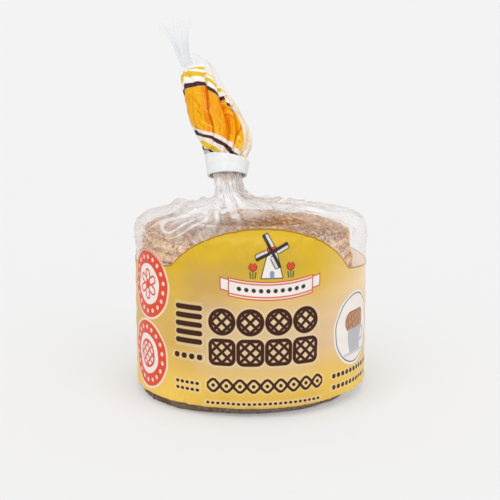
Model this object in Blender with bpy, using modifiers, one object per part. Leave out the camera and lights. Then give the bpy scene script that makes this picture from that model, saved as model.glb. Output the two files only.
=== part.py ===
"""A round stack of waffles in a clear bag. The bag is gathered into a neck, a white band
holds the neck, and the free end of the bag stands above the band as a pleated tail.

The bag is closed and full, so it is one solid out to the film. The band is a solid of its own.
Lengths in the constants are millimetres. +Z is up and the front of the pack faces -Y.
"""

import math
from collections import namedtuple

import bmesh
import bpy
from mathutils import Matrix, Vector

MM = 0.001
UP = Vector((0, 0, 1))
SHARP_ANGLE = math.radians(50)

# The stack that the film is drawn over
WAFFLE_COUNT = 8
WAFFLE_PITCH = 7.8
STACK_HEIGHT = WAFFLE_COUNT * WAFFLE_PITCH

# The round body of the bag
BODY_RADIUS = 44.1
WAFFLE_BULGE = 0.25
BASE_RADIUS = 39.6
BASE_CORNER_HEIGHT = 4.5
BASE_CORNER_STEPS = 4
WALL_STEPS_PER_WAFFLE = 2

# The shoulder, where the film turns in over the top waffle. It is lower at the back.
RIM_RADIUS = 35.5
RIM_HEIGHT = 69.0
RIM_FALL = 3.0
SHOULDER_STEPS = 4

# The neck: its sections lie flat up to the first height and are square to it from the second
NECK_FLAT_BELOW = 73.0
NECK_SQUARE_ABOVE = 79.0

# The folds that run up from the shoulder into the tail
SIDES = 72
FOLDS = 9
FOLD_DRIFT = 0.8
FOLD_DRIFT_RISE = 5.0
STEPS_PER_STATION = 2

# The white band round the neck
BAND_CENTRE = Vector((-9.0, 4.1, 84.5))
BAND_AXIS = Vector((-0.1, 3.0, 6.8)).normalized()
BAND_LOW_RADIUS = 7.6
BAND_HIGH_RADIUS = 8.6
BAND_DEPTH_SHARE = 0.86
BAND_HEIGHT = 7.0
BAND_TOP_SLOPE = 0.16
BAND_WALL = 0.9
BAND_EDGE = 0.25
BAND_SIDES = 40

# One section of the bag: its centre, its half width and half depth, and how far its folds
# stand out from the section and up along the bag.
Station = namedtuple("Station", "x y z wide deep fold lift")

# The gathered film, from the rim of the body to the open end of the tail
GATHER = (
    Station(0.0, 0.0, RIM_HEIGHT, RIM_RADIUS, RIM_RADIUS, 0.0, 0.1),
    Station(-1.0, 0.1, 69.8, 28.5, 28.5, 0.0, 0.5),
    Station(-3.2, 0.3, 70.9, 18.5, 18.0, 0.0, 0.7),
    Station(-5.8, 0.5, 72.9, 10.4, 9.8, 0.4, 0.4),
    Station(-7.4, 0.6, 75.2, 6.6, 6.0, 0.7, 0.0),
    Station(-8.1, 1.0, 78.0, 5.6, 5.0, 0.7, 0.0),
    Station(-8.8, 2.3, 81.0, 5.8, 4.8, 0.4, 0.0),
    Station(-8.8, 5.9, 88.0, 6.3, 5.2, 0.4, 0.0),
    Station(-9.0, 7.8, 91.2, 8.8, 6.0, 0.9, 0.0),
    Station(-10.6, 10.6, 96.2, 9.6, 6.6, 1.3, 0.0),
    Station(-14.0, 14.8, 103.2, 9.5, 6.4, 1.3, 0.0),
    Station(-17.3, 19.0, 111.2, 8.0, 5.6, 1.1, 0.0),
    Station(-19.8, 21.8, 117.2, 7.0, 4.6, 0.9, 0.0),
    Station(-21.6, 23.8, 122.0, 4.4, 3.4, 0.7, 0.0),
    Station(-23.4, 25.2, 125.6, 3.2, 2.6, 0.5, 0.0),
    Station(-25.8, 27.4, 131.4, 4.6, 3.0, 0.7, 0.0),
    Station(-28.4, 29.4, 137.4, 7.6, 3.4, 0.9, 0.0),
)
MOUTH_SINK = 2.0


def body_stations():
    """The base corner, the wall with a slight bulge at each waffle, and the shoulder."""
    stations = []
    for step in range(BASE_CORNER_STEPS):
        turn = math.pi / 2 * step / BASE_CORNER_STEPS
        radius = BASE_RADIUS + (BODY_RADIUS - BASE_RADIUS) * math.sin(turn)
        height = BASE_CORNER_HEIGHT * (1 - math.cos(turn))
        stations.append((radius, height))
    wall_low, wall_high = BASE_CORNER_HEIGHT, STACK_HEIGHT
    wall_steps = round((wall_high - wall_low) / WAFFLE_PITCH * WALL_STEPS_PER_WAFFLE)
    for step in range(wall_steps + 1):
        height = wall_low + (wall_high - wall_low) * step / wall_steps
        bulge = -WAFFLE_BULGE * math.cos(2 * math.pi * height / WAFFLE_PITCH)
        stations.append((BODY_RADIUS + bulge, height))
    for step in range(1, SHOULDER_STEPS):
        turn = math.pi / 2 * step / SHOULDER_STEPS
        radius = RIM_RADIUS + (BODY_RADIUS - RIM_RADIUS) * math.cos(turn)
        height = wall_high + (RIM_HEIGHT - wall_high) * math.sin(turn)
        stations.append((radius, height))
    return [Station(0.0, 0.0, z, r, r, 0.0, 0.0) for r, z in stations]


def between(before, start, end, after, share):
    """A point on the smooth curve from start to end, for each number of the stations."""
    s2, s3 = share * share, share**3
    weights = (2 * share**2 - share - s3, 2 - 5 * s2 + 3 * s3, share + 4 * s2 - 3 * s3, s3 - s2)
    rows = zip(before, start, end, after)
    return Station(*(sum(w * v for w, v in zip(weights, row)) / 2 for row in rows))


def refined(stations, steps):
    """The stations with others put between them on a smooth curve."""
    ends = [stations[0], *stations, stations[-1]]
    found = []
    for a, b, c, d in zip(ends, ends[1:], ends[2:], ends[3:]):
        found += [between(a, b, c, d, step / steps) for step in range(steps)]
    return [*found, stations[-1]]


def centre(station):
    return Vector((station.x, station.y, station.z))


def fall(point):
    """How far the film's top sinks at this point: nothing at the front, and most at the back rim."""
    climb = (point.z - STACK_HEIGHT) / (RIM_HEIGHT - STACK_HEIGHT)
    leave = (NECK_FLAT_BELOW - point.z) / (NECK_FLAT_BELOW - RIM_HEIGHT)
    return RIM_FALL * max(0.0, min(1.0, climb, leave)) * max(0.0, point.y / BODY_RADIUS)


def section_points(station, axis, height_share):
    """The outline of one section, in the plane square to axis, with its folds."""
    across = (Vector((1, 0, 0)) - axis * axis.x).normalized()
    inward = axis.cross(across)
    points = []
    for side in range(SIDES):
        turn = 2 * math.pi * side / SIDES
        wave = math.cos(FOLDS * turn + FOLD_DRIFT * math.sin(2 * turn + FOLD_DRIFT_RISE * height_share))
        point = (
            centre(station)
            + across * (station.wide + station.fold * wave) * math.cos(turn)
            + inward * (station.deep + station.fold * wave) * math.sin(turn)
            + axis * station.lift * wave
        )
        points.append(point - UP * fall(point))
    return points


def section_axes(gather):
    """The direction of the bag at each gathered section: upright at the rim, then along the neck."""
    axes = []
    for before, here, after in zip([gather[0], *gather], gather, [*gather[1:], gather[-1]]):
        along = (centre(after) - centre(before)).normalized()
        square = (here.z - NECK_FLAT_BELOW) / (NECK_SQUARE_ABOVE - NECK_FLAT_BELOW)
        axes.append(UP.lerp(along, min(1.0, max(0.0, square))).normalized())
    return axes


def loft(mesh_name, rings, low_centre, high_centre):
    """A closed mesh through rings of the same number of points, with a fan over each end."""
    mesh = bmesh.new()
    rows = [[mesh.verts.new(point * MM) for point in ring] for ring in rings]
    for low, high in zip(rows, rows[1:]):
        for i in range(SIDES):
            j = (i + 1) % SIDES
            mesh.faces.new((low[i], low[j], high[j], high[i]))
    bottom = mesh.verts.new(low_centre * MM)
    top = mesh.verts.new(high_centre * MM)
    for i in range(SIDES):
        j = (i + 1) % SIDES
        mesh.faces.new((rows[0][j], rows[0][i], bottom))
        mesh.faces.new((rows[-1][i], rows[-1][j], top))
    bmesh.ops.recalc_face_normals(mesh, faces=mesh.faces)
    data = bpy.data.meshes.new(mesh_name)
    mesh.to_mesh(data)
    mesh.free()
    return data


def material(name, colour, roughness):
    made = bpy.data.materials.new(name)
    made.use_nodes = True
    shader = made.node_tree.nodes["Principled BSDF"]
    shader.inputs["Base Color"].default_value = (*colour, 1)
    shader.inputs["Roughness"].default_value = roughness
    shader.inputs["Metallic"].default_value = 0.0
    return made


def add_object(name, data, finish, collection):
    made = bpy.data.objects.new(name, data)
    made.data.materials.append(finish)
    made.data.shade_smooth()
    made.data.set_sharp_from_angle(angle=SHARP_ANGLE)
    collection.objects.link(made)
    return made


def build_bag(collection):
    """The filled bag, from its flat base to the open end of its tail."""
    body = body_stations()
    gather = refined(GATHER, STEPS_PER_STATION)
    stations = body + gather
    axes = [UP] * len(body) + section_axes(gather)
    top = stations[-1].z
    rings = [section_points(s, a, s.z / top) for s, a in zip(stations, axes)]
    mouth = centre(stations[-1]) - axes[-1] * MOUTH_SINK
    data = loft("bag", rings, centre(stations[0]), mouth)
    finish = material("film_and_print", (0.80, 0.56, 0.14), 0.3)
    return add_object("bag", data, finish, collection)


def build_band(collection):
    """The white band: a tapered oval sleeve whose top rim slopes down to the right."""
    sleeve = bmesh.new()
    bmesh.ops.create_cone(
        sleeve,
        cap_ends=False,
        segments=BAND_SIDES,
        radius1=BAND_LOW_RADIUS * MM,
        radius2=BAND_HIGH_RADIUS * MM,
        depth=BAND_HEIGHT * MM,
    )
    for vert in sleeve.verts:
        if vert.co.z > 0:
            vert.co.z -= BAND_TOP_SLOPE * vert.co.x
        vert.co.y *= BAND_DEPTH_SHARE
    data = bpy.data.meshes.new("band")
    sleeve.to_mesh(data)
    sleeve.free()
    band = add_object("band", data, material("white_band", (0.88, 0.88, 0.87), 0.35), collection)
    across = (Vector((1, 0, 0)) - BAND_AXIS * BAND_AXIS.x).normalized()
    frame = Matrix((across, BAND_AXIS.cross(across), BAND_AXIS)).transposed()
    band.matrix_world = Matrix.Translation(BAND_CENTRE * MM) @ frame.to_4x4()
    wall = band.modifiers.new("wall", "SOLIDIFY")
    wall.thickness = BAND_WALL * MM
    wall.offset = -1
    edge = band.modifiers.new("edge", "BEVEL")
    edge.width = BAND_EDGE * MM
    edge.segments = 2
    edge.limit_method = "ANGLE"
    edge.angle_limit = SHARP_ANGLE
    return band


def main():
    for old in list(bpy.data.objects):
        bpy.data.objects.remove(old, do_unlink=True)
    collection = bpy.data.collections.new("bag_of_waffles")
    bpy.context.scene.collection.children.link(collection)
    build_bag(collection)
    build_band(collection)


main()
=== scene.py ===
import math
from functools import reduce

import bpy
import numpy as np
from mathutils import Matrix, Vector


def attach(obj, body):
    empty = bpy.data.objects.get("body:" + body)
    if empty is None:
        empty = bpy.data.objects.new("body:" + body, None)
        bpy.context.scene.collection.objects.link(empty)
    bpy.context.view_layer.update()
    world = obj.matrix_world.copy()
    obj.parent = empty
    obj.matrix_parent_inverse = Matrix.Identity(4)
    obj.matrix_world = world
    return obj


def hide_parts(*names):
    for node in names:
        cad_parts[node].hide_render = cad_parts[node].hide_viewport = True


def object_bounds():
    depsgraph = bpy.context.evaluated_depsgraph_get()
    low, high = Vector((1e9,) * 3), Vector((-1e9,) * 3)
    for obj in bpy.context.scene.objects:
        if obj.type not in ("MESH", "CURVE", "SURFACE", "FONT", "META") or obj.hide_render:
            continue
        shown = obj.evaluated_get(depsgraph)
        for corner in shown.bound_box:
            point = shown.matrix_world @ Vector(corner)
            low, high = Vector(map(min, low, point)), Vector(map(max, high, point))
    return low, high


# The looks of a bag of stroopwafels: eight pressed waffles in a clear crinkled bag with a
# printed label round it, gathered into a neck under a white band and a printed tail.
# Lengths are millimetres until a mesh is made. A turn is an angle round the pack from its
# front (-Y) towards its right (+X).

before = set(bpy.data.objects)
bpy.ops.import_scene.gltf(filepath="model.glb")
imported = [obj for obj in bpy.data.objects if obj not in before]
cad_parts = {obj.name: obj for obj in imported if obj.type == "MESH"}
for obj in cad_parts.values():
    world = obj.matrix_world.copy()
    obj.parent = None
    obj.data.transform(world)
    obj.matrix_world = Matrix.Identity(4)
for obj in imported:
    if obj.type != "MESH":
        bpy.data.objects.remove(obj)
CAD_LOW, CAD_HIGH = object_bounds()
MM = 0.001
UP = np.array([0.0, 0.0, 1.0])
RIGHT = np.array([1.0, 0.0, 0.0])

# ---- driving dimensions

WALL_BULGE = 0.25
BODY_RADIUS = (CAD_HIGH.x - CAD_LOW.x) / 2 / MM - WALL_BULGE
GIRTH = 2 * math.pi * BODY_RADIUS
BASE_RADIUS = 39.6
BASE_CORNER = 4.5
RIM_RADIUS = 35.5
RIM_HEIGHT = 69.0
RIM_FALL = 3.0

WAFFLE_COUNT = 8
WAFFLE_PITCH = 7.8
PRESSED_PITCH = 7.68
WAFFLE_THICKNESS = 7.4
WAFFLE_RADIUS = 39.7
WAFFLE_LIFT = 0.35
FILLING_SHARE = 0.2
STACK_SHIFT = -1.8
STACK_LEAN = (1.5, 0.9)
STACK_HEIGHT = WAFFLE_COUNT * WAFFLE_PITCH

# Sections of the gathered film: x, y and z of the centre, half width and half depth
NECK = (
    (0.0, 0.0, RIM_HEIGHT, RIM_RADIUS, RIM_RADIUS), (-1.0, 0.1, 69.8, 28.5, 28.5),
    (-3.2, 0.3, 70.9, 18.5, 18.0), (-5.8, 0.5, 72.9, 10.4, 9.8), (-7.4, 0.6, 75.2, 7.0, 6.4),
    (-8.1, 1.0, 78.0, 6.1, 5.6), (-8.8, 2.3, 81.0, 6.2, 5.3), (-8.9, 4.4, 85.0, 6.2, 5.3),
)
TAIL = (
    NECK[-1], (-8.8, 6.2, 88.4, 7.6, 6.0), (-8.9, 7.8, 91.2, 9.4, 6.8),
    (-10.1, 10.6, 96.2, 9.8, 7.4), (-14.2, 14.8, 103.2, 9.9, 7.2), (-17.9, 19.0, 111.2, 8.2, 6.2),
    (-20.0, 21.8, 117.2, 7.3, 5.2), (-20.6, 23.0, 120.2, 6.3, 4.4), (-22.4, 24.0, 122.6, 4.6, 3.4),
    (-24.4, 24.8, 124.4, 3.2, 2.8),
)
TAIL_END = (
    (-24.6, 24.6, 121.4, 2.6, 2.2), (-26.2, 25.4, 125.4, 3.0, 2.4), (-27.6, 27.4, 131.2, 4.0, 2.6),
    (-29.4, 29.4, 137.6, 7.6, 3.0),
)
NECK_FLAT_BELOW, NECK_SQUARE_ABOVE = 73.0, 79.0
# Steps from one section to the next
NECK_STEPS, TAIL_STEPS, TAIL_END_STEPS = 16, 22, 20

BAND_CENTRE = Vector((-9.0, 4.1, 84.5))
BAND_AXIS = Vector((-0.1, 3.0, 6.8)).normalized()
BAND_LOW_RADIUS, BAND_HIGH_RADIUS = 7.6, 8.6
BAND_DEPTH_SHARE = 0.86
BAND_HEIGHT = 7.0
BAND_TOP_SLOPE = 0.16
BAND_WALL = 0.9
BAND_COLUMNS = 120

# The label is printed on the film: a wide arch at the front, and shallow dips round the rest
LABEL_LIFT = 0.08
BACKING_LIFT = -0.3
ARCH_CENTRE, ARCH_HALF, ARCH_POWER = 3.9, 39.1, 2.53
ARCH_FOOT, ARCH_RISE = 49.9, 18.8
CUSP_LEFT, CUSP_RIGHT = -31.0, 41.0
DIP, DIP_COUNT = -2.8, 3
LABEL_LOW, LABEL_LOW_RISE = 4.1, 0.6
BADGES = ((-45.2, 45.2), (-46.3, 18.6))
BADGE_RADIUS = 13.2
# Columns and rows
LABEL_GRID, BACKING_GRID = (900, 76), (450, 38)

CAMERA_PLACE, CAMERA_AIM = Vector((-0.31, -500, 156)), Vector((-0.31, 0, 53.07))
CAMERA_LENS, CAMERA_FILM = 96.1, 36
SCREEN_WHITE = (242, 242, 242)
ROOM_TOP = 0.80
FLOOR_SIZE = 40
FLOOR_GLOW = 0.46
CONTACT_REACH = 16
SUN_ANGLE = 50
# Name, turn from the front and height in degrees, and strength
SUNS = (("key", -22, 50, 0.8), ("fill", 30, 46, 0.6))


# ---- small tools


def srgb(*display):
    """Linear colour from three display values of 0 to 255."""
    shares = [value / 255 for value in display]
    return (*(s / 12.92 if s <= 0.04045 else ((s + 0.055) / 1.055) ** 2.4 for s in shares), 1.0)


def ease(low, high, value):
    """A smooth climb from 0 at low to 1 at high."""
    share = np.clip((value - low) / (high - low), 0, 1)
    return share * share * (3 - 2 * share)


def wrap(value, period):
    return (value + period / 2) % period - period / 2


def hump(value, middle, width):
    """1 at the middle, and nearly 0 from two widths away."""
    return np.exp(-(((value - middle) / width) ** 2))


def unit(vectors):
    return vectors / np.maximum(np.linalg.norm(vectors, axis=-1, keepdims=True), 1e-9)


def grid_of(*parts):
    """Numbers or arrays, spread to one shape, as the last axis of a new array."""
    return np.stack(np.broadcast_arrays(*parts), axis=-1)


def ring(radius, turns, level):
    """Points or directions this far out at these turns, and at this level."""
    return grid_of(radius * np.sin(turns), -radius * np.cos(turns), level)


def all_round(columns):
    """One row of turns all the way round, from the back over the left and the front."""
    return np.linspace(-np.pi, np.pi, columns, endpoint=False)[None, :]


def noise_place(turns, level, radius=3):
    """Where to read noise so that it has no seam at the back."""
    return grid_of(np.cos(turns) * radius, np.sin(turns) * radius, level)


def value_noise(points, seed):
    """Smooth noise from -1 to 1 at an array of 3-D points, one unit per cell."""
    cell = np.floor(points).astype(np.int64)
    share = points - cell
    share = share * share * (3 - 2 * share)
    total = np.zeros(points.shape[:-1])
    for corner in range(8):
        step = np.array([corner & 1, corner >> 1 & 1, corner >> 2 & 1])
        spot = cell + step
        mixed = spot[..., 0] * 374761393 + spot[..., 1] * 668265263 + spot[..., 2] * 1442695041
        mixed = (mixed + seed * 1446657) & 0xFFFFFFFF
        mixed = ((mixed ^ (mixed >> 13)) * 1274126177) & 0xFFFFFFFF
        random = ((mixed ^ (mixed >> 16)) & 0xFFFF) / 32767.5 - 1
        total += random * np.prod(np.where(step == 1, share, 1 - share), axis=-1)
    return total


def fractal(points, seed):
    """Noise with two finer and weaker layers on it."""
    return sum(0.5**layer * value_noise(points * 2.03**layer, seed + layer) for layer in range(3))


# ---- mesh making


def placed(name, data):
    """A new object in the scene."""
    made = bpy.data.objects.new(name, data)
    bpy.context.scene.collection.objects.link(made)
    return made


def grid_object(name, points, material, maps=None):
    """A mesh through rows x columns of points, closed round the columns. maps holds what the
    material reads: one number, or three, at each point."""
    rows, columns = points.shape[:2]
    index = np.arange(rows * columns).reshape(rows, columns)
    after = np.roll(index, -1, axis=1)
    quads = np.stack([index[:-1], after[:-1], after[1:], index[1:]], axis=-1)
    mesh = bpy.data.meshes.new(name)
    mesh.from_pydata(points.reshape(-1, 3) * MM, [], quads.reshape(-1, 4).tolist())
    up, across = np.mgrid[0 : rows - 1, 0:columns]
    ends = ((0, 0), (1, 0), (1, 1), (0, 1))
    flat = np.stack([grid_of((across + i) / columns, (up + j) / (rows - 1)) for i, j in ends], axis=2)
    mesh.uv_layers.new(name="sheet").data.foreach_set("uv", flat.astype(np.float32).ravel())
    for title, values in (maps or {}).items():
        kind, field = ("FLOAT_VECTOR", "vector") if values.ndim == 3 else ("FLOAT", "value")
        spread = np.broadcast_to(values, (rows, columns, *values.shape[2:]))
        made = mesh.attributes.new(title, kind, "POINT")
        made.data.foreach_set(field, spread.astype(np.float32).ravel())
    mesh.shade_smooth()
    mesh.materials.append(material)
    made = placed(name, mesh)
    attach(made, "root")
    return made


def normals_of(points):
    """Normals of a closed grid whose columns turn from front to right and whose rows go up."""
    step_round = np.roll(points, -1, axis=1) - np.roll(points, 1, axis=1)
    return unit(np.cross(step_round, np.gradient(points, axis=0)))


def sides_of(axes):
    """The right and back directions in the plane square to each axis."""
    right = unit(RIGHT - axes * axes[..., :1])
    return right, np.cross(axes, right)


def stood_off(points, normals, distance):
    return points + normals * distance[..., None]


# ---- creases in the film


def crease_set(centre, along, rng, *sizes):
    """Straight sharp folds on a sheet: centre, direction, half length, half width and height of
    each. sizes holds (least, most) for the last three. About half of the folds go inwards."""
    count = len(centre)
    sign = np.where(rng.random(count) < 0.5, 1.0, -1.0)
    half, wide, tall = (rng.uniform(*limits, count) for limits in sizes)
    return centre, unit(along), half, wide, tall * sign


def crumple(points, creases):
    """How far the folds lift each point: a straight ridge across and a bow along each fold."""
    height = np.zeros(points.shape[:-1])
    for centre, along, half, wide, tall in zip(*creases):
        offset = points - centre
        run = offset @ along
        square = np.maximum(np.einsum("...i,...i", offset, offset) - run * run, 0)
        near = (np.abs(run) < half) & (square < wide * wide)
        ridge = 1 - np.sqrt(square[near]) / wide
        height[near] += tall * ridge * (1 - (run[near] / half) ** 2)
    return height


def wall_base(turns, heights):
    """Points and outward normals of the smooth wall, whose foot and shoulder are quarters of an
    ellipse."""
    high = np.clip((heights - STACK_HEIGHT) / (RIM_HEIGHT - STACK_HEIGHT), 0, 1)
    low = np.clip((BASE_CORNER - heights) / BASE_CORNER, 0, 1)
    shoulder, foot = BODY_RADIUS - RIM_RADIUS, BODY_RADIUS - BASE_RADIUS
    over, under = np.sqrt(1 - high**2), np.sqrt(1 - low**2)
    radius = BODY_RADIUS - shoulder * (1 - over) - foot * (1 - under)
    out = over / shoulder * (high > 0) + under / foot * (low > 0)
    out = np.where((high == 0) & (low == 0), 1.0, out)
    lean = high / (RIM_HEIGHT - STACK_HEIGHT) - low / BASE_CORNER
    return ring(radius, turns, heights), unit(ring(out, turns, lean))


def wall_creases(seed, count, heights, angles, *sizes):
    """Folds over the upright film, at angles in degrees from level."""
    rng = np.random.default_rng(seed)
    turns = rng.uniform(-np.pi, np.pi, count)
    centre, normal = wall_base(turns, rng.uniform(*heights, count))
    angle = np.radians(rng.uniform(*angles, count))
    level = grid_of(np.cos(turns), np.sin(turns), 0)
    rise = np.cross(normal, level)
    along = level * np.cos(angle)[:, None] + rise * np.sin(angle)[:, None]
    return crease_set(centre, along, rng, *sizes)


def top_creases(seed, count, reach, radial, *sizes):
    """Folds over the film's crumpled top. radial is the share that run towards the neck."""
    rng = np.random.default_rng(seed)
    radius = np.sqrt(rng.uniform(0.02, 1, count)) * reach
    turns = rng.uniform(-np.pi, np.pi, count)
    level = RIM_HEIGHT + 3.2 * (1 - radius / reach) + rng.uniform(-0.4, 0.6, count)
    centre = ring(radius, turns, level) - RIGHT * 3
    wild = rng.uniform(-np.pi, np.pi, count)
    inward = np.where(rng.random(count) < radial, turns + rng.normal(0, 0.35, count), wild)
    along = ring(1, inward, rng.uniform(-0.12, 0.12, count))
    return crease_set(centre, along, rng, *sizes)


WALL_CREASES = (
    wall_creases(11, 70, (6, 60), (60, 120), (6, 20), (1.5, 4), (0.05, 0.14)),
    wall_creases(12, 190, (0, 8), (20, 160), (2, 7), (0.7, 1.8), (0.1, 0.4)),
    wall_creases(13, 240, (54, 70), (30, 150), (3, 10), (0.7, 2.0), (0.1, 0.4)),
)
TOP_CREASES = (
    top_creases(21, 130, 39, 0.7, (6, 20), (1.4, 4.2), (0.3, 1.3)),
    top_creases(22, 420, 41, 0.3, (2, 8), (0.5, 1.5), (0.1, 0.45)),
)


def wall_film(turns, heights, lift=0.0, hold=1.0):
    """The crinkled upright film, lifted off by lift. hold is the share of the crinkles that stays."""
    points, out = wall_base(turns, heights)
    slow = value_noise(noise_place(turns, heights / 38, 1.6), 5)
    ridge = np.cos(2 * np.pi * (heights - WAFFLE_PITCH / 2) / WAFFLE_PITCH)
    stand = (0.35 * slow - 0.2 + 0.10 * ridge) * ease(70, 60, heights)
    label, hem, shoulder = (crumple(points, creases) for creases in WALL_CREASES)
    stand += label + hem * ease(10, 5, heights) + shoulder * ease(50, 62, heights)
    return stood_off(points, out, np.minimum(stand, 0.9) * hold + lift)


# ---- the gathered film


def refined(stations, steps):
    """The stations with others put between them on a Catmull-Rom curve."""
    table = np.array([stations[0], *stations, stations[-1]], float)
    share = (np.arange(steps) / steps)[:, None]
    found = []
    for a, b, c, d in zip(table, table[1:], table[2:], table[3:]):
        square, cube = 2 * a - 5 * b + 4 * c - d, 3 * b - a - 3 * c + d
        found.append((2 * b + (c - a) * share + square * share**2 + cube * share**3) / 2)
    return np.concatenate([*found, table[-1:]])


def section_axes(stations):
    """Each section faces along the film's path, and straight up where the film is still flat."""
    along = unit(np.gradient(stations[:, :3], axis=0))
    share = (stations[:, 2] - NECK_FLAT_BELOW) / (NECK_SQUARE_ABOVE - NECK_FLAT_BELOW)
    share = np.clip(share, 0, 1)[:, None]
    return unit(UP * (1 - share) + along * share)


def tube(stations, turns, pull=0.0):
    """Points on the sections. pull is the share of the way from each point to the middle."""
    right, back = sides_of(section_axes(stations))
    wide = stations[:, 3:4] * (1 - pull) * np.sin(turns)
    deep = stations[:, 4:5] * (1 - pull) * np.cos(turns)
    return stations[:, None, :3] + right[:, None] * wide[..., None] - back[:, None] * deep[..., None]


def run_length(stations):
    """The distance along the film to each section, as a column."""
    steps = np.linalg.norm(np.diff(stations[:, :3], axis=0), axis=1)
    return np.concatenate([[0.0], np.cumsum(steps)])[:, None]


def pleats(turns, rows, seed, count, drift):
    """Sharp gathers, from 0 at a ridge to 1 in a valley. They wander by drift radians."""
    rng = np.random.default_rng(seed)
    at = np.sort(rng.uniform(-np.pi, np.pi, count))
    depth = rng.uniform(0, 1, count)
    depth[::2] *= 0.25
    wander = drift * value_noise(grid_of(rows / 9.0, np.cos(turns), np.sin(turns)), seed)
    return np.interp(wrap(turns + wander, 2 * np.pi), at, depth, period=2 * np.pi)


FILM_LOW = 46.0
FILM_COLUMNS = 480
# The film's material reads three numbers: how milky the film is, how crumpled, and 1 where the
# band holds it or -1 past the printed tail. These are under the label.
BASE_FILM = (0.03, 0.25, 0)
# Noise is read at this radius, and at this share of the distance along, to draw it out
RIBBON_ROUND, RIBBON_ALONG = 24.0, 0.16


def fallen(points):
    """The film's top, sunk towards the back."""
    z = points[..., 2]
    climb = (z - STACK_HEIGHT) / (RIM_HEIGHT - STACK_HEIGHT)
    leave = (NECK_FLAT_BELOW - z) / (NECK_FLAT_BELOW - RIM_HEIGHT)
    share = np.clip(np.minimum(climb, leave), 0, 1) * np.maximum(points[..., 1] / BODY_RADIUS, 0)
    return points - UP * (RIM_FALL * share)[..., None]


def top_milk(points):
    """How milky the gathered top is: dense on the left and by the neck, with clearer patches."""
    x, y = points[..., 0], points[..., 1]
    patch = value_noise(grid_of(x / 13, y / 13, 0), 35)
    milk = 0.12 + 0.46 * ease(-39, -20, y) + 0.18 * patch - 0.16 * ease(4, 26, y)
    milk += 0.2 * ease(16, 7, np.hypot(x + 6, y - 1))
    milk -= 0.34 * hump(x, 3, 12) * ease(14, -6, y)
    milk += 0.42 * hump(x, -19, 13) * ease(18, 2, y) * ease(-46, -38, y)
    milk -= 0.30 * hump(x, 10, 20) * ease(8, 20, y)
    return milk - 0.26 * hump(x, 21, 12) * ease(-12, -24, y)


def wall_milk(points):
    """How milky the upright film is: clear at the front, and denser up on the left."""
    x, y, z = (points[..., k] for k in range(3))
    milk = 0.06 + 0.28 * ease(60, RIM_HEIGHT, z) * ease(-40, -22, y)
    milk += 0.16 * ease(-28, -42, x)
    return milk + 0.48 * hump(x, -19, 13) * ease(0, -12, y) * ease(58, 66, z)


def ribbon_place(turns, along, seed):
    """Coordinates in which noise becomes ribbons that run along the film and swerve."""
    swerve = turns + 0.8 * value_noise(noise_place(turns, along / 12), seed)
    return ring(RIBBON_ROUND, swerve, along * RIBBON_ALONG) * MM


def ribbon_maps(turns, along, seed, drift=None):
    """Two sets of ribbon coordinates. The second winds round the film by drift radians a
    millimetre. Without a drift it is the first, with narrower ribbons."""
    first = ribbon_place(turns, along, seed)
    second = ribbon_place(turns + along * drift, along, seed + 1) if drift else first * 1.3
    return {"ribbon": first, "ribbon_across": second}


def gathered_top(turns, rows, stations):
    """The crumpled top with its gathers, and how far each row has narrowed to the neck."""
    radius = stations[:, 3:4]
    smooth = tube(stations, turns)
    broad, fine = (crumple(smooth, creases) for creases in TOP_CREASES)
    shoulder = crumple(smooth, WALL_CREASES[2])
    flat = ease(9, 20, radius)
    stand = (broad + fine) * flat * ease(35.5, 28, radius) + shoulder * ease(28, 35, radius)
    gathers = pleats(turns, rows, 31, 34, 0.35)
    close = pleats(turns, rows, 32, 21, 0.6)
    stand += ease(36, 10, radius) * flat * (1.1 - 2.6 * gathers)
    pull = (1 - flat) * (0.42 * close + 0.10 * gathers)
    return stood_off(tube(stations, turns, pull), normals_of(smooth), stand), 1 - flat


def build_film_upper(material):
    """The clear film above the label, over the shoulder and gathered up into the band."""
    turns = all_round(FILM_COLUMNS)
    arc = np.sin(np.linspace(0, np.pi / 2, 15))[1:-1] * (RIM_HEIGHT - STACK_HEIGHT)
    heights = np.concatenate([np.linspace(FILM_LOW, STACK_HEIGHT, 20), STACK_HEIGHT + arc])[:, None]
    wall = wall_film(turns, heights)
    stations = refined(NECK, NECK_STEPS)
    rows = run_length(stations)
    top, narrow = gathered_top(turns, rows, stations)
    points = fallen(np.concatenate([wall, top]))
    milk = np.concatenate([wall_milk(wall), top_milk(top)])
    crush = np.concatenate([0.7 + 0.3 * ease(48, 56, heights), 0.25 + 0.5 * narrow])
    # tie also marks where the film material paints brown shade under the band.
    tie = ease(78.5, 81.5, points[..., 2])
    along = np.concatenate([heights - RIM_HEIGHT, rows])
    maps = {"film": grid_of(milk, crush, tie), **ribbon_maps(turns, along, 51, 0.03)}
    made = grid_object("film_upper", points, material, maps)
    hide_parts("bag")


def build_film_base(material):
    """The clear film under the label: the crinkled foot and the gathered underside."""
    turns = all_round(FILM_COLUMNS)
    corner = BASE_CORNER * (1 - np.sin(np.linspace(0, np.pi / 2, 14)))
    heights = np.concatenate([[6.5, 5.5], corner[:-1], [0.03]])[:, None]
    wall = wall_film(turns, heights, hold=ease(0.0, 1.2, heights))
    wall[..., 2] = np.maximum(wall[..., 2], 0.02)
    radius = np.linspace(BASE_RADIUS, 1.5, 26)[1:, None]
    folds = pleats(turns, radius, 41, 60, 0.2) * ease(BASE_RADIUS, 25, radius)
    under = ring(radius, turns, 0.06 + 0.22 * folds)
    points = np.concatenate([wall, under])[::-1]
    along = points[..., 2] - np.hypot(points[..., 0], points[..., 1])
    maps = {"film": points * 0 + BASE_FILM, **ribbon_maps(turns, along, 53)}
    made = grid_object("film_base", points, material, maps)
    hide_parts("bag")


# ---- label


def arch(across):
    return ARCH_FOOT + ARCH_RISE * (1 - np.abs((across - ARCH_CENTRE) / ARCH_HALF) ** ARCH_POWER)


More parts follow.
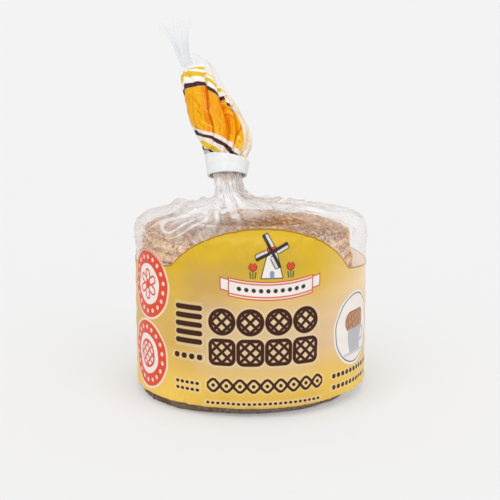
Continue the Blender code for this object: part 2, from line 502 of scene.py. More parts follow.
def label_top(across):
    """Height of the label's upper edge: the arch, the dips, and the upper badge over them."""
    past = (across - CUSP_RIGHT) % GIRTH
    round_back = GIRTH + CUSP_LEFT - CUSP_RIGHT
    dip_width = round_back / DIP_COUNT
    in_dip = (past % dip_width) / dip_width * 2 - 1
    low = arch(CUSP_RIGHT) + (arch(CUSP_LEFT) - arch(CUSP_RIGHT)) * past / round_back
    edge = np.where(past < round_back, low + DIP * (1 - in_dip**2), arch(across))
    badge_turn, badge_height = BADGES[0]
    beside = np.clip(1 - ((across - badge_turn) / BADGE_RADIUS) ** 2, 0, 1)
    return np.where(beside > 0, np.maximum(edge, badge_height + BADGE_RADIUS * np.sqrt(beside)), edge)


def build_label(name, material, grid, lift):
    """One side of the label: the print, or the white backing that shows inside the bag."""
    columns, rows = grid
    turns = all_round(columns)
    across = turns * BODY_RADIUS
    low = LABEL_LOW + LABEL_LOW_RISE * ease(0.4, 0.9, turns) * ease(2.4, 1.4, turns)
    top = label_top(across)
    heights = low + (top - low) * np.linspace(0, 1, rows)[:, None]
    maps = {"print": grid_of(across, heights, top - heights)}
    made = grid_object(name, wall_film(turns, heights, lift), material, maps)
    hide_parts("bag")


# ---- tail

# The tail's sheet winds round as it comes down: degrees a millimetre, and the row it starts from
TAIL_TWIST, TWIST_FROM = 2.0, 22.0
# Ridges and valleys of the tail: turn of the sheet in degrees, and share it is pulled in by
TAIL_FOLDS = (
    (-150, 0.28), (-125, 0.0), (-104, 0.2), (-98, 0.02), (-62, 0.04), (-38, 0.0), (-14, 0.14),
    (-10, 0.24), (-7, 0.02), (10, 0.0), (22, 0.10), (31, 0.26), (35, 0.02), (45, 0.0), (52, 0.24),
    (57, 0.04), (78, 0.02), (92, 0.24), (97, 0.04), (118, 0.0), (136, 0.30), (142, 0.02), (165, 0.1),
)
# Where the orange field ends on the sheet: turn in degrees, top row and bottom row
ORANGE_ENDS = (
    (-145, 33.0, 22.0), (-86, 34.9, 21.5), (-45, 33.3, 17.1), (-28, 32.9, 14.6), (-10.1, 32.5, 12.3),
    (-9.9, 30.4, 12.1), (12, 26.9, 9.7), (32.9, 23.9, 7.8), (33.1, 21.0, 7.2), (55.9, 17.6, 5.4),
    (56.1, 16.4, 5.0), (92, 14.0, 3.8), (93, 19.0, 5.0), (140, 24.0, 12.0), (141, 28.0, 14.0),
    (180, 31.0, 19.0),
)
TAIL_COLUMNS, TAIL_END_COLUMNS = 480, 240


def tail_folds(sheet, rows):
    """The share by which the tail's film is pulled in at its folds."""
    at, depth = np.array(TAIL_FOLDS).T
    drift = 5 * value_noise(grid_of(rows / 12.0, np.cos(np.radians(sheet)), 0 * sheet), 61)
    return np.interp(sheet + drift, at, depth, period=360)


def tail_creases(stations, seed, count):
    """Folds over the tail, most of which run along it."""
    rng = np.random.default_rng(seed)
    spot = rng.integers(4, len(stations) - 4, count)
    turns = rng.uniform(-np.pi, np.pi, count)
    surface = tube(stations, turns[None, :])
    centre = surface[spot, np.arange(count)]
    path = unit(np.gradient(stations[:, :3], axis=0))[spot]
    side = grid_of(np.cos(turns), np.sin(turns), 0)
    along = path + side * rng.normal(0, 0.6, count)[:, None]
    return crease_set(centre, along, rng, (2.5, 11), (0.8, 2.2), (0.2, 0.8))


def build_tail(material):
    """The printed length of the tail, with its folds, its creases and where its stripes lie."""
    stations = refined(TAIL, TAIL_STEPS)
    rows = run_length(stations)
    turns = all_round(TAIL_COLUMNS)
    sheet = wrap(np.degrees(turns) - TAIL_TWIST * (rows - TWIST_FROM), 360)
    pull = tail_folds(sheet, rows)
    base = tube(stations, turns, pull)
    stand = crumple(base, tail_creases(stations, 71, 150))
    points = stood_off(base, normals_of(tube(stations, turns)), stand)
    at, *ends = np.array(ORANGE_ENDS).T
    above, below = (rows - np.interp(sheet, at, end, period=360) for end in ends)
    # fold, how far the film is pulled in, is where the material paints shade in the valleys.
    maps = {"print": grid_of(sheet, above, below), "row": rows, "fold": pull}
    maps |= ribbon_maps(np.radians(sheet), rows, 55, 0.06)
    made = grid_object("tail_print", points, material, maps)
    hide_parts("bag")


def build_tail_end(material):
    """The clear end of the tail, drawn in and then flared with a ragged rim."""
    stations = refined(TAIL_END, TAIL_END_STEPS)
    rows = run_length(stations)
    turns = all_round(TAIL_END_COLUMNS)
    points = tube(stations, turns, 0.4 * pleats(turns, rows, 81, 9, 0.5))
    rim = ease(rows[-1] - 7, rows[-1], rows)
    points[..., 2] += rim * 1.6 * value_noise(noise_place(turns, 0.0), 82)
    milk = 0.06 + 0.22 * ease(15, 7, rows) + 0 * turns
    maps = {"film": grid_of(milk, 0, -1), **ribbon_maps(turns, rows, 54)}
    made = grid_object("film_tail_end", points, material, maps)
    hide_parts("bag")


# ---- band


def band_profile():
    """The outline of the collar, up its outside and down its inside: level and depth."""
    edge = BAND_WALL / 2
    reach = BAND_HEIGHT / 2 - edge
    side = np.linspace(-reach, reach, 14)
    rim = np.linspace(0, np.pi, 9)[1:]
    over, inward = reach + edge * np.sin(rim), edge * np.cos(rim)
    level = np.concatenate([side, over, -side[1:], -over])
    inset = np.concatenate([0 * side, inward - edge, 0 * side[1:] - BAND_WALL, -inward - edge])
    return level[:, None], inset[:, None]


def build_band(material):
    """The white tie: a tapered collar with rounded rims, whose upper rim slopes."""
    turns = all_round(BAND_COLUMNS)
    level, inset = band_profile()
    share = level / BAND_HEIGHT + 0.5
    radius = BAND_LOW_RADIUS + (BAND_HIGH_RADIUS - BAND_LOW_RADIUS) * share + inset
    radius = radius + 0.10 * value_noise(noise_place(turns, level / 4), 91)
    wide, deep = radius * np.sin(turns), -radius * BAND_DEPTH_SHARE * np.cos(turns)
    level = level - ease(0, 1, share) * BAND_TOP_SLOPE * wide
    axis = np.array(BAND_AXIS)
    right, back = sides_of(axis)
    along = ((wide, right), (deep, back), (level, axis))
    points = np.array(BAND_CENTRE) + sum(size[..., None] * way for size, way in along)
    made = grid_object("tie_band", np.concatenate([points, points[:1]]), material)
    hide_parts("band")


# ---- waffles

# The rim of a waffle, top to bottom: share of the half thickness, and how far it stands in
WAFFLE_SIDE = (
    (1.0, 0.9), (0.93, 0.35), (0.75, 0.0), (0.5, 0.05), (0.28, 0.2), (0.17, 0.8), (0.08, 0.35),
    (-0.08, 0.3), (-0.17, 0.75), (-0.28, 0.2), (-0.5, 0.0), (-0.75, 0.1), (-0.93, 0.4), (-1.0, 0.95),
)
LATTICE_PITCH = 5.6
LATTICE_RISE = 0.6
# Columns round a waffle, and rows from its middle to its rim: the top one is seen best
WAFFLE_GRID, TOP_WAFFLE_GRID = (300, 14), (420, 64)


def lattice(x, y, turn):
    """The raised lines that the iron leaves: 1 on a line and 0 in the middle of a square."""
    c, s = math.cos(turn), math.sin(turn)
    lines = 0.0
    for offset in (x * c + y * s, y * c - x * s):
        away = np.abs(wrap(offset, LATTICE_PITCH)) / (LATTICE_PITCH / 2)
        lines = np.maximum(lines, 1 - ease(0.1, 0.45, away))
    return lines


def waffle_profile(face_rows):
    """The outline of a waffle, up from the middle of its underside: share of the radius, level, how
    far it stands in, and 1 on its side."""
    half = WAFFLE_THICKNESS / 2
    face = np.linspace(0.004, 1, face_rows)[:-1]
    top = [(share, half, 0.9 * share, 0) for share in face]
    side = [(1.0, half * level, inset, 1) for level, inset in WAFFLE_SIDE]
    under = [(share, -half, 0.95 * share, 0) for share in face[::-1]]
    return np.array(top + side + under)[::-1].T[..., None]


def build_waffle(number, material):
    """One pressed waffle: two thin wafers with a lattice, and caramel between them."""
    rng = np.random.default_rng(100 + number)
    columns, face_rows = TOP_WAFFLE_GRID if number == WAFFLE_COUNT - 1 else WAFFLE_GRID
    turns = all_round(columns)
    out_x, out_y = np.sin(turns), -np.cos(turns)
    share, level, inset, side = waffle_profile(face_rows)
    ragged = 0.6 * fractal(noise_place(turns, number * 3.7), 7)
    reach = share * (WAFFLE_RADIUS + ragged + rng.uniform(-0.4, 0.4) - inset)
    crumb = fractal(grid_of(reach * out_x / 1.5, reach * out_y / 1.5, level / 1.2 + number * 11), 21)
    rough = reach + side * crumb * 0.32
    x, y = rough * out_x, rough * out_y
    inner = ease(1.0, 0.985, share) * (1 - side)
    relief = (lattice(x, y, rng.uniform(0, np.pi / 2)) - 1) * LATTICE_RISE * inner
    z = level + np.sign(level) * (relief + (1 - side) * 0.06 * crumb)
    z = z + 0.45 * value_noise(grid_of(x / 30, y / 30, number), 31)
    lean = rng.uniform(-0.3, 0.3, 2) + np.array(STACK_LEAN) * number / (WAFFLE_COUNT - 1)
    rise_back, rise_left = np.tan(np.radians(lean))
    z = z + y * rise_back - x * rise_left + number * PRESSED_PITCH
    slid = rng.uniform(-0.6, 0.6, 2) if number else (0, 0)
    points = grid_of(x + STACK_SHIFT + slid[0], y + slid[1], z + WAFFLE_THICKNESS / 2 + WAFFLE_LIFT)
    filling = side * np.clip(1 - np.abs(level) / (FILLING_SHARE * WAFFLE_THICKNESS / 2), 0, 1)
    # foot marks painted shade: the lowest waffle's side darkens towards the floor.
    foot = ease(6, 2.5, points[..., 2]) * ease(30, 37, reach)
    maps = {"filling": filling, "relief": relief, "side": side, "foot": foot}
    grid_object(f"waffle_{number + 1}", points, material, maps)


# ---- building materials


def node_math(operation, flipped=False):
    """A method that adds a node of this kind to a field and its other values."""
    def method(self, *others):
        return self.paint.math(operation, *((*others, self) if flipped else (self, *others)))

    return method


class Field:
    """A number that varies over a surface, held as a node's output. Arithmetic adds nodes."""

    def __init__(self, paint, socket):
        self.paint, self.socket = paint, socket

    __add__ = __radd__ = node_math("ADD")
    __sub__, __rsub__ = node_math("SUBTRACT"), node_math("SUBTRACT", flipped=True)
    __mul__, __abs__ = node_math("MULTIPLY"), node_math("ABSOLUTE")
    most, least = node_math("MAXIMUM"), node_math("MINIMUM")

    def wrapped(self, period):
        return self.paint.math("WRAP", self, period / 2, -period / 2)

    def ramp(self, low, high):
        """0 below low, 1 above high, and a straight line between."""
        return self.paint.math("MULTIPLY_ADD", self, 1 / (high - low), -low / (high - low), clamp=True)


class Paint:
    """A material, or a world, being made from nodes."""

    def __init__(self, name, kept_in=bpy.data.materials):
        self.made = kept_in.new(name)
        self.made.use_nodes = True
        self.tree = self.made.node_tree
        self.tree.nodes.clear()

    def node(self, kind, inputs=None, output=0, **settings):
        """One output of a new node."""
        made = self.tree.nodes.new("ShaderNode" + kind)
        for key, value in settings.items():
            setattr(made, key, value)
        for socket, value in (inputs or {}).items():
            self.feed(made.inputs[socket], value)
        return made.outputs[output]

    def feed(self, socket, value):
        """Link a field or a socket, or set a value. Three numbers of a colour are display values."""
        if isinstance(value, Field):
            value = value.socket
        if isinstance(value, bpy.types.NodeSocket):
            self.tree.links.new(value, socket)
        elif socket.type == "RGBA" and len(value) == 3:
            socket.default_value = srgb(*value)
        else:
            socket.default_value = value

    def math(self, operation, *values, clamp=False):
        inputs = dict(enumerate(values))
        return Field(self, self.node("Math", inputs, operation=operation, use_clamp=clamp))

    def attribute(self, name, output="Vector"):
        return self.node("Attribute", output=output, attribute_name=name)

    def split(self, name):
        """The three numbers that the attribute holds at each point."""
        parts = self.node("SeparateXYZ", {0: self.attribute(name)}).node
        return [Field(self, socket) for socket in parts.outputs]

    def number(self, name):
        return Field(self, self.attribute(name, "Fac"))

    def noise(self, size, detail=2.0, rough=0.5, seed=0.0, stretch=(1, 1, 1), where=None):
        """Noise round 0.5 whose blobs are about size millimetres across."""
        where = where or self.node("TexCoord", output="Object")
        scale = tuple(k / (size * MM) for k in stretch)
        place = self.node("Mapping", {"Vector": where, "Location": (seed,) * 3, "Scale": scale})
        blobs = {"Vector": place, "Scale": 1.0, "Detail": detail, "Roughness": rough}
        return Field(self, self.node("TexNoise", blobs, "Fac"))

    def noise_along(self, name, size, seed):
        """Noise in the coordinates that the attribute holds: long along the film, size across."""
        return self.noise(size, seed=seed, where=self.attribute(name))

    def lines(self, wide, wide_across, *readings):
        """What each reading makes of noise drawn out in both sets of ribbon coordinates, this wide
        in each: the greater of the two."""
        first = self.noise_along("ribbon", wide, 0.0)
        second = self.noise_along("ribbon_across", wide_across, 5.0)
        return [reading(first).most(reading(second)) for reading in readings]

    def mix(self, share, first, second):
        inputs = {0: share, 6: first, 7: second}
        return self.node("Mix", inputs, 2, data_type="RGBA", clamp_factor=True)

    def layers(self, colour, *steps):
        """The colour with others laid over it in order, each by its share."""
        for share, tint in steps:
            colour = self.mix(share, colour, tint)
        return colour

    def bump(self, height, distance, strength=1.0):
        return self.node("Bump", {"Height": height, "Distance": distance * MM, "Strength": strength})

    def principled(self, colour, rough, bend=None, shine=0.5, **others):
        """The main shader. The names of its other inputs are written with underscores."""
        inputs = {"Base Color": colour, "Roughness": rough, "Specular IOR Level": shine}
        inputs |= {"Normal": bend} if bend else {}
        inputs |= {name.replace("_", " ").title(): value for name, value in others.items()}
        return self.node("BsdfPrincipled", inputs)

    def lit_through(self, body, colour, share):
        """The shader body, with a share of the light coming through from behind."""
        glow = self.node("BsdfTranslucent", {"Color": colour})
        return self.node("MixShader", {0: share, 1: body, 2: glow})

    def over_clear(self, share, body):
        """Clear film, with the shader body over it by its share."""
        clear = self.node("BsdfTransparent", {"Color": CLEAR})
        return self.node("MixShader", {0: share, 1: clear, 2: body})

    def finish(self, shader, kind="OutputMaterial"):
        end = self.tree.nodes.new("ShaderNode" + kind)
        self.feed(end.inputs["Surface"], shader)
        return self.made


def mask(distance, soft=0.3):
    """1 inside a shape, 0 outside, from a distance in millimetres."""
    return distance.paint.math("MULTIPLY_ADD", distance, -1 / soft, 0.5, clamp=True)


def printed(*shapes):
    """Layers for shapes, each in its own colour."""
    return [(mask(shape), tint) for shape, tint in shapes]


def outline(distance, half_width):
    return abs(distance) - half_width


def length_of(x, y):
    return x.paint.math("SQRT", x * x + y * y)


def disc(x, y, radius):
    return length_of(x, y) - radius


def within(x, y, half_width, half_height):
    """Below 0 inside a plain rectangle."""
    return (abs(x) - half_width).most(abs(y) - half_height)


def block(x, y, half_width, half_height, corner=0.3):
    """Distance to a rounded rectangle."""
    over_x = (abs(x) - (half_width - corner)).most(0)
    over_y = (abs(y) - (half_height - corner)).most(0)
    return length_of(over_x, over_y) - corner


def turned(x, y, degrees):
    c, s = math.cos(math.radians(degrees)), math.sin(math.radians(degrees))
    return x * c + y * s, y * c - x * s


def repeated_round(x, y, count):
    """The plane folded so that one shape on the +y axis shows count times round the middle."""
    angle = x.paint.math("ARCTAN2", x, y).wrapped(2 * math.pi / count)
    radius = length_of(x, y)
    return radius * x.paint.math("SINE", angle), radius * x.paint.math("COSINE", angle)


def waffle_sign(x, y, shape, pitch, line, turn=45):
    """A waffle as printed: the rim of a shape, with crossed lines inside it."""
    p, q = turned(x, y, turn)
    bars = outline(p.wrapped(pitch), line / 2).least(outline(q.wrapped(pitch), line / 2))
    return outline(shape, line * 0.62).least(bars.most(shape))


# ---- the materials

# Colours are display values, or linear where they have four numbers
CLEAR = (0.995, 0.995, 0.995, 1)
BROWN = (64, 24, 4)
MAROON = (72, 38, 36)
WHITE = (240, 236, 230)
RED = (226, 76, 44)
GOLD = (222, 184, 36)
BLUSH = (236, 224, 212)


def waffle_material():
    """Baked wafer, paler and crumbly round its side, with a line of caramel, and painted shade on the
    lowest one towards the floor.
    """
    paint = Paint("baked_waffle")
    filling, relief, side = (paint.number(name) for name in ("filling", "relief", "side"))
    baked = paint.noise(14, detail=4).ramp(0.35, 0.68)
    crumbs = paint.noise(1.6, detail=4, rough=0.65)
    pores = paint.noise(0.7, detail=3, seed=4.0)
    face = paint.mix(baked, (210, 156, 100), (166, 108, 64))
    rim = paint.mix(baked, (255, 212, 156), (230, 166, 108))
    colour = paint.layers(
        paint.mix(side, face, rim),
        (crumbs.ramp(0.53, 0.62) * 0.85, (120, 72, 46)),
        (crumbs.ramp(0.47, 0.38) * 0.8, (255, 228, 184)),
        (pores.ramp(0.60, 0.68) * 0.7, (110, 66, 44)),
        (relief.ramp(-0.1, -0.6) * 0.4, (214, 160, 100)),
        (filling.ramp(0.1, 0.7) * 0.6, (140, 80, 44)),
        # Painted shade: the side of the lowest waffle darkens towards the floor.
        (paint.number("foot") * 0.9, (62, 36, 22)),
    )
    bend = paint.bump(crumbs * 0.7 + pores * 0.3, 0.6)
    return paint.finish(paint.principled(colour, 0.78 - filling * 0.45, bend, 0.3))


def edge_line(noise):
    """A thin line along each ribbon's edge."""
    return mask(outline(noise - 0.525, 0.007), 0.012)


def film_material():
    """Clear polypropylene: nearly nothing where it is smooth. Where it is gathered it is milky,
    with white ribbons whose thin grey edges are painted shade. Where it is crumpled it has painted
    glints, specks of painted shade and a warm painted reflection, and under the band painted brown
    shade."""
    paint = Paint("clear_film")
    milk, crush, tie = paint.split("film")
    facing = Field(paint, paint.node("LayerWeight", {"Blend": 0.5}, "Facing"))
    cloud = paint.noise(7, detail=3, rough=0.6)
    ribbon, rim = paint.lines(3.6, 4.8, lambda n: n.ramp(0.53, 0.60), edge_line)
    # Painted shade: thin grey lines along the edges of the ribbons.
    fold_edge_shade = rim * cloud.ramp(0.42, 0.58) * (1 - tie.ramp(0, -1))
    chips = paint.noise(0.9, detail=3, rough=0.7, seed=2.0)
    flakes = paint.noise(2.6, detail=2, rough=0.6, seed=7.0)
    # light is painted glints and shade is specks of painted shade where the film is crumpled; both
    # also thicken the haze.
    rough = crush * (1 - facing.ramp(0.38, 0.62))
    light = chips.ramp(0.52, 0.60).most(flakes.ramp(0.57, 0.62) * 0.8) * rough
    shade = chips.ramp(0.47, 0.39).most(flakes.ramp(0.40, 0.34) * 0.8) * rough
    haze = milk * (0.4 + cloud.ramp(0.35, 0.65) * 0.8) + ribbon * (milk * 0.6 + 0.02)
    haze = haze + facing.ramp(0.55, 1.0) * crush * 0.36
    haze = haze.most(light * (0.62 - milk * 0.5)).most(shade * (0.42 - milk * 0.4))
    haze = haze.most(fold_edge_shade * (milk * 0.8 + 0.04)).least(0.94)
    tone = paint.layers(
        (230, 224, 221),
        (cloud.ramp(0.3, 0.7), (243, 241, 240)),
        # Painted reflection: crumpled film takes a warm tint from the waffles.
        (crush * (1 - milk) * 0.6, (252, 238, 228)),
        (shade * (1 - milk), (112, 88, 78)),
        (milk.ramp(0.45, 0.75) * 0.6, (252, 252, 253)),
        (light, (253, 249, 245)),
        (ribbon * 0.8, (252, 251, 251)),
        (fold_edge_shade * 0.75, (140, 130, 130)),
        # Painted shade: brown in the folds just under the band.
        (tie * cloud.ramp(0.5, 0.6) * 0.5, (170, 116, 76)),
        (tie.ramp(0, -1), (222, 226, 234)),
    )
    bend = paint.bump(chips * 0.3 + ribbon * 0.5, 0.4, 0.6)
    body = paint.principled(tone, 0.2, bend, 0.4, coat_weight=0.2, coat_roughness=0.08)
    return paint.finish(paint.over_clear(haze, paint.lit_through(body, tone, 0.15)))


def label_ground(paint, v, z):
    """The label's shaded field, under its print, with a painted sheen on the right and a painted soft
    shadow round the emblem.
    """
    drift = paint.noise(26, detail=1)
    glow = z.ramp(50, 36) * z.ramp(12, 24) * abs(v - 45).ramp(78, 10) * v.ramp(-110, 20)
    # Painted sheen: paler yellow on the right of the label.
    painted_sheen = v.ramp(20, 60) * v.ramp(80, 60) * z.ramp(32, 44) * z.ramp(70, 50)
    return paint.layers(
        (222, 184, 42),
        (z.ramp(54, 36), (222, 184, 98)),
        (glow * (0.8 + drift * 0.4), (230, 200, 162)),
        (z.ramp(26, 9), (244, 206, 92)),
        (z.ramp(16, 4) * abs(v - 2).ramp(38, 16), (216, 176, 78)),
        (abs(v).ramp(64, 78) * 0.8, (224, 188, 62)),
        (painted_sheen, (255, 232, 192)),
        (abs(v + 6).ramp(34, 12) * abs(z - 27).ramp(16, 6) * 0.5, (196, 160, 96)),
        (abs(v + 19).ramp(13, 5) * abs(z - 46).ramp(13, 6) * 0.5, (196, 156, 108)),
        (mask(block(v + 2, z - 29, 22, 13, 6), 9) * 0.3, (234, 220, 196)),
        # Painted soft shadow round the emblem.
        (mask(block(v - 1, z - 55, 12, 4, 4), 12) * 0.4, (176, 146, 84)),
    )


def label_material():
    """The printed film. u is millimetres round the pack from the front, and z the height."""
    paint = Paint("printed_label")
    u, z, below = paint.split("print")
    colour = label_ground(paint, u - ARCH_CENTRE, z)
    for part in (front_print, side_print, back_print, badge_print, cup_print, emblem_print):
        colour = paint.layers(colour, *part(u, z))
    # Painted shade: a dark line just under the label's top edge.
    colour = paint.mix(mask(outline(below - 0.3, 0.25)) * 0.8, colour, (140, 98, 30))
    rough = 0.24 + paint.noise(12, seed=3.0) * 0.12
    bend = paint.bump(paint.noise(5, seed=5.0, stretch=(1, 1, 0.5)), 0.10, 0.6)
    body = paint.principled(colour, rough, bend, 0.28)
    return paint.finish(paint.lit_through(body, colour, 0.2))


def backing_material():
    """The white ink behind the print. Its glow is painted light, for the light that comes through the
    print.
    """
    paint = Paint("label_backing")
    cloud = paint.noise(8, detail=3)
    colour = paint.mix(cloud, (240, 232, 214), (250, 246, 238))
    bend = paint.bump(cloud, 0.1, 0.5)
    # Painted light: the backing glows for the light that comes through the print.
    glow = {"emission_color": (232, 242, 254), "emission_strength": 0.58}
    body = paint.principled(colour, 0.4 + cloud * 0.1, bend, **glow)
    return paint.finish(paint.lit_through(body, colour, 0.4))


def dashes(x, y, pitch, length, height):
    """A line of small print: rounded dashes."""
    return block(x.wrapped(pitch), y, length / 2, height / 2, height / 2.2)


# The lines of small print on the front: middle, height, half length, pitch, dash length and height
PRINT_LINES = (
    (-27.6, 22.1, 6.4, 3.2, 2.3, 2.1), (-28, 12.3, 5.25, 2.1, 1.5, 1.2),
    (-28, 9.8, 5.25, 2.1, 1.5, 1.2), (1.2, 5.8, 21.85, 1.9, 1.3, 1.0),
    (44, 12.6, 15.6, 2.6, 1.9, 1.8), (43, 8.2, 14.3, 2.6, 1.9, 1.8),
)


def front_print(u, z):
    """The brown print on the front: rows of waffles, a stack, diamonds and lines of dashes."""
    v = u - ARCH_CENTRE
    x = (v + 14.3).wrapped(10.2)
    p, q = turned((v + 17.6).wrapped(4.9), z - 12.4, 45)
    diamonds = outline(block(p, q, 1.9, 1.9, 1.2), 0.52).least(length_of(p, q) - 0.7)
    stack = block(v + 27.2, (z - 34).wrapped(3.1), 5.6, 1.02, 1.0)
    shapes = [
        diamonds.most(within(v - 1.95, z - 12.4, 22.0, 5)),
        stack.most(within(v + 27.2, z - 34, 9, 7.7)),
    ]
    for level, corner in ((35.9, 4.3), (24.8, 1.9)):
        y = z - level
        sign = waffle_sign(x, y, block(x, y, 4.3, 4.3, corner), 2.75, 1.15)
        shapes.append(sign.most(within(v - 1.0, y, 20.3, 5.4)))
    for middle, height, half, pitch, length, tall in PRINT_LINES:
        shift = 0 if round(2 * half / pitch) % 2 else pitch / 2
        line = dashes(v - middle - shift, z - height, pitch, length, tall)
        shapes.append(line.most(within(v - middle, z - height, half, 2)))
    ink = reduce(Field.least, shapes)
    return [(mask(ink - 0.45, 0.8) * 0.5, (242, 228, 192)), (mask(ink), BROWN)]


def side_print(u, z):
    """A large pale waffle on each side of the pack."""
    x, y = abs(u) - 92, z - 27
    sign = waffle_sign(x, y, disc(x, y, 17), 7.5, 1.6)
    return [(mask(sign, 0.4) * 0.55, (246, 226, 150))]


def back_print(u, z):
    """A pale panel on the back with a table of dashes, and a row of waffles under it."""
    x, y = GIRTH / 2 - abs(u), z - 30
    panel = block(x, y, 24, 15, 2.5)
    rules = outline((y - 1.4).wrapped(2.8), 0.09).most(panel + 1.5)
    table = dashes(x, y.wrapped(2.8), 2.0, 1.4, 0.9).most(within(abs(x) - 12, y, 9, 13.4))
    near, low = x.wrapped(6.4), z - 9.6
    signs = waffle_sign(near, low, disc(near, low, 2.5), 1.7, 0.6).most(x - 25)
    return [
        (mask(panel - 0.6), BROWN),
        (mask(panel), (246, 238, 218)),
        (mask(rules, 0.2) * 0.5, BROWN),
        (mask(table, 0.25), BROWN),
        (mask(signs, 0.25), BROWN),
    ]


def badge_print(u, z):
    """Two red rounds with a ring of pale dots. The upper one holds a flower, the lower a waffle."""
    layers = []
    for number, (badge_turn, height) in enumerate(BADGES):
        x, y = u - badge_turn, z - height
        whole = disc(x, y, BADGE_RADIUS)
        dot_x, dot_y = repeated_round(x, y, 18)
        if number == 0:
            p, q = repeated_round(x, y, 6)
            sign = outline(block(p, q - 3.4, 1.3, 2.1, 1.3), 0.38).least(disc(x, y, 1.3))
        else:
            sign = waffle_sign(x, y, disc(x, y, 4.9), 2.6, 0.8)
        layers += printed(
            (whole, (252, 228, 206)),
            (whole + 0.8, RED),
            (disc(dot_x, dot_y - 10.1, 0.8), (253, 218, 196)),
            (disc(x, y, 7.6), (244, 238, 232)),
            (sign, RED),
        )
    return layers


def cup_print(u, z):
    """A waffle on a cup, in a white round."""
    x, y = u - 46.9, z - 28.4
    waffle = block(x, y - 2.9, 6.8, 3.6, 3.2)
    cup = within(x, y + 4.6, 5.4, 4.6).most(abs(x) - (y * 0.22 + 6.0))
    handle = outline(block(x - 6.0, y + 3.4, 2.2, 2.4, 1.8), 0.55)
    return printed(
        (disc(x, y, 14), (243, 239, 233)),
        (outline(disc(x, y, 12.9), 0.22), (74, 84, 112)),
        (waffle, (196, 146, 106)),
        (waffle_sign(x, y - 2.9, waffle, 2.4, 0.5, 20), (160, 106, 70)),
        (cup.least(handle), (190, 192, 196)),
        (block(x, y + 9.4, 7.6, 0.5, 0.4), (208, 210, 214)),
    )


def bordered(width, border, *shapes):
    """Layers for shapes, each over the same shape made wider in the border's colour."""
    layers = []
    for shape, tint in shapes:
        layers += printed((shape - width, border), (shape, tint))
    return layers


def windmill(x, y, ink):
    body = (abs(x) - (2.5 - y * 0.24)).most(abs(y) - 5.0)
    cap = disc(x, y - 4.6, 1.75).most(4.3 - y)
    p, q = repeated_round(*turned(x, y - 4.3, 27), 4)
    arm = block(p, q - 3.0, 0.24, 3.1, 0.1)
    cloth = block(p - 0.85, q - 3.7, 0.66, 2.2, 0.1)
    door = block(x, y + 3.8, 0.8, 1.3, 0.7)
    parts = bordered(0.36, ink, (body, WHITE), (cap, RED), (cloth, WHITE), (arm, ink))
    return parts + printed((door, (140, 152, 180)))


def tulips(x, y, ink):
    """Two tulips, one on each side of the middle. y is the height over their feet."""
    x = abs(x) - 6.8
    cup = disc(x * 1.15, y - 4.4, 1.55)
    teeth = y - 5.5 + abs(abs(x * 1.15) - 0.75) * 1.2
    stem = block(x, y - 1.5, 0.22, 1.6, 0.2)
    leaf = block(abs(x) - 0.75 - y * 0.12, y - 1.2, 0.28, 1.2, 0.25)
    green = (mask(stem.least(leaf), 0.25), (84, 108, 52))
    return [green, *bordered(0.3, ink, (cup.most(teeth), RED))]


def emblem_print(u, z):
    """A windmill between two tulips, over a plain ribbon with dots."""
    x, y = u - ARCH_CENTRE - 3.6, z - 57.0
    ink = (58, 44, 44)
    swag = z - 47.2 - x * x * 0.007
    ends = within(x, swag - 0.5, 18.2, 1.9)
    ribbon = within(x, swag, 15.2, 3.0)
    stripes = outline(abs(swag) - 2.3, 0.28).most(ribbon)
    spots = disc((x - 1.3).wrapped(2.6), swag, 0.8).most(within(x, swag, 13.1, 1.2))
    return [
        *windmill(x, y, ink),
        *tulips(x, y + 5.2, ink),
        *bordered(0.4, (196, 66, 46), (ends, WHITE), (ribbon, WHITE)),
        *printed((stripes, (224, 104, 66)), (spots, ink)),
    ]


def tail_stripes(above, below):
    """Layers for the stripes, each between two distances from the orange field's upper or lower
    end."""
    stripes = (
        (above, 0, 40, WHITE), (above, 0, 1.9, MAROON), (above, 4.3, 6.4, GOLD),
        (above, 7.9, 8.7, GOLD), (below, -40, 0, BLUSH), (below, -3.3, -1.6, MAROON),
        (below, -8.2, -5.6, GOLD), (below, -10.4, -8.8, MAROON),
    )
    return [(mask(outline(field - (low + high) / 2, (high - low) / 2)), tint)
            for field, low, high, tint in stripes]


def tail_material():
    """The tail's print: an orange field with brown, white and gold stripes at its ends, with painted
    shade on the first panel's right and in the folds, and painted glints and streaks of painted shade.
    The film is clear above the last stripe."""
    paint = Paint("printed_tail")
    sheet, above, below = paint.split("print")
    tone = paint.noise_along("ribbon", 6, 3.0)
    # bright is painted glints along the creases, and dark is painted streaks of shade in the folds.
    bright, dark = paint.lines(1.5, 2.0, lambda n: n.ramp(0.60, 0.70), lambda n: n.ramp(0.40, 0.30))
    slant = sheet - 45 - (22.8 - paint.number("row")) * 1.7
    pale = slant.ramp(0, 3) * (sheet - 128).ramp(2, 0) * below.ramp(-6, -5)
    colour = paint.layers(
        (236, 180, 12),
        (tone.ramp(0.38, 0.62), (232, 150, 0)),
        # Painted shade on the right of the first panel.
        ((sheet + 40).ramp(0, 26) * (sheet + 8).ramp(2, 0) * 0.8, (226, 120, 2)),
        # Painted shade in the fold valleys.
        (paint.number("fold").ramp(0.05, 0.24) * 0.7, (222, 112, 4)),
        (dark * 0.8, (208, 106, 2)),
        (bright * 0.75, (255, 210, 84)),
        *tail_stripes(above, below),
        (pale * 0.9, (238, 226, 206)),
        (pale * bright * 0.9, (226, 190, 52)),
        (pale * dark * 0.4, (150, 118, 92)),
    )
    bend = paint.bump(paint.noise(2.4, detail=3, seed=5.0) + tone, 0.3, 0.8)
    body = paint.principled(colour, 0.22 + tone * 0.1, bend, 0.12)
    seen = above.ramp(9.6, 9.2).most(tone.ramp(0.5, 0.75) * 0.2 + 0.02)
    return paint.finish(paint.over_clear(seen, body))


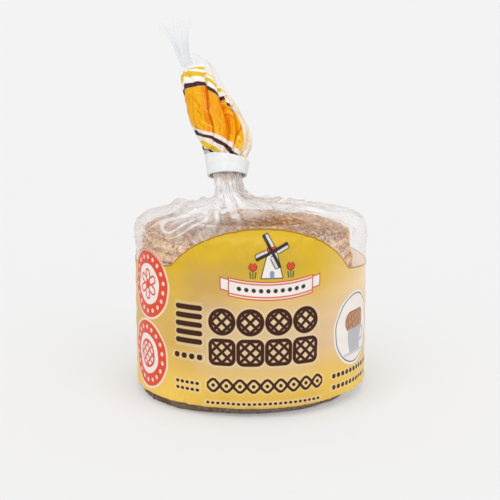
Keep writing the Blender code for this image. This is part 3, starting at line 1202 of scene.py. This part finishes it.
def band_material():
    paint = Paint("white_band")
    grain = paint.noise(2.5, detail=3)
    colour = paint.mix(grain.ramp(0.3, 0.7), (222, 224, 224), (232, 234, 234))
    bend = paint.bump(grain, 0.08, 0.5)
    return paint.finish(paint.principled(colour, 0.42 + grain * 0.1, bend))


def floor_material():
    """Pale and nearly even. It glows a little, and less close to the pack: a painted contact shadow.
    """
    paint = Paint("pale_floor")
    grain = paint.noise(60, detail=2)
    reach = {"Distance": CONTACT_REACH * MM}
    # Painted contact shadow: the glow is cut where the pack is near.
    near = Field(paint, paint.node("AmbientOcclusion", reach, "AO", samples=8))
    tone = paint.mix(grain, (0.459, 0.459, 0.459, 1), (0.461, 0.461, 0.461, 1))
    glow = {"emission_color": SCREEN_WHITE, "emission_strength": (near * 0.25 + 0.75) * FLOOR_GLOW}
    return paint.finish(paint.principled(tone, 0.9, shine=0.0, **glow))


# ---- floor, light and camera


def build_lamp(name, azimuth, elevation, strength):
    """A soft sun at these degrees from the front and above the floor."""
    light = bpy.data.lights.new(name, "SUN")
    light.energy = strength
    light.angle = math.radians(SUN_ANGLE)
    a, e = math.radians(azimuth), math.radians(elevation)
    source = Vector((math.sin(a) * math.cos(e), -math.cos(a) * math.cos(e), math.sin(e)))
    placed(name, light).rotation_euler = source.to_track_quat("Z", "Y").to_euler()


def build_stage():
    bpy.ops.mesh.primitive_plane_add(size=FLOOR_SIZE)
    floor = bpy.context.object
    floor.name = "floor"
    floor.data.materials.append(floor_material())
    build_world()
    for sun in SUNS:
        build_lamp(*sun)


def build_world():
    """A white room: bright low down, where it meets the floor, and dimmer overhead."""
    paint = Paint("studio", bpy.data.worlds)
    height = paint.node("SeparateXYZ", {0: paint.node("TexCoord", output="Generated")}, "Z")
    limits = {"From Min": 0.1, "From Max": 0.45, "To Min": 1.0, "To Max": ROOM_TOP}
    light = paint.node("MapRange", {"Value": height, **limits}, interpolation_type="SMOOTHSTEP")
    room = paint.node("Background", {"Color": SCREEN_WHITE, "Strength": light})
    bpy.context.scene.world = paint.finish(room, "OutputWorld")


def build_camera():
    data = bpy.data.cameras.new("camera")
    camera = placed("camera", data)
    camera.location = CAMERA_PLACE * MM
    camera.rotation_euler = (CAMERA_AIM - CAMERA_PLACE).to_track_quat("-Z", "Y").to_euler()
    data.lens, data.sensor_width = CAMERA_LENS, CAMERA_FILM
    data.clip_start = 0.01
    bpy.context.scene.camera = camera


# ---- the whole pack

build_stage()
build_camera()
baked = waffle_material()
for number in range(WAFFLE_COUNT):
    build_waffle(number, baked)
film = film_material()
build_film_upper(film)
build_film_base(film)
build_label("label", label_material(), LABEL_GRID, LABEL_LIFT)
build_label("label_backing", backing_material(), BACKING_GRID, BACKING_LIFT)
build_tail(tail_material())
build_tail_end(film)
build_band(band_material())

scene = bpy.context.scene
scene.view_settings.view_transform = "Standard"
scene.cycles.transparent_max_bounces = 32
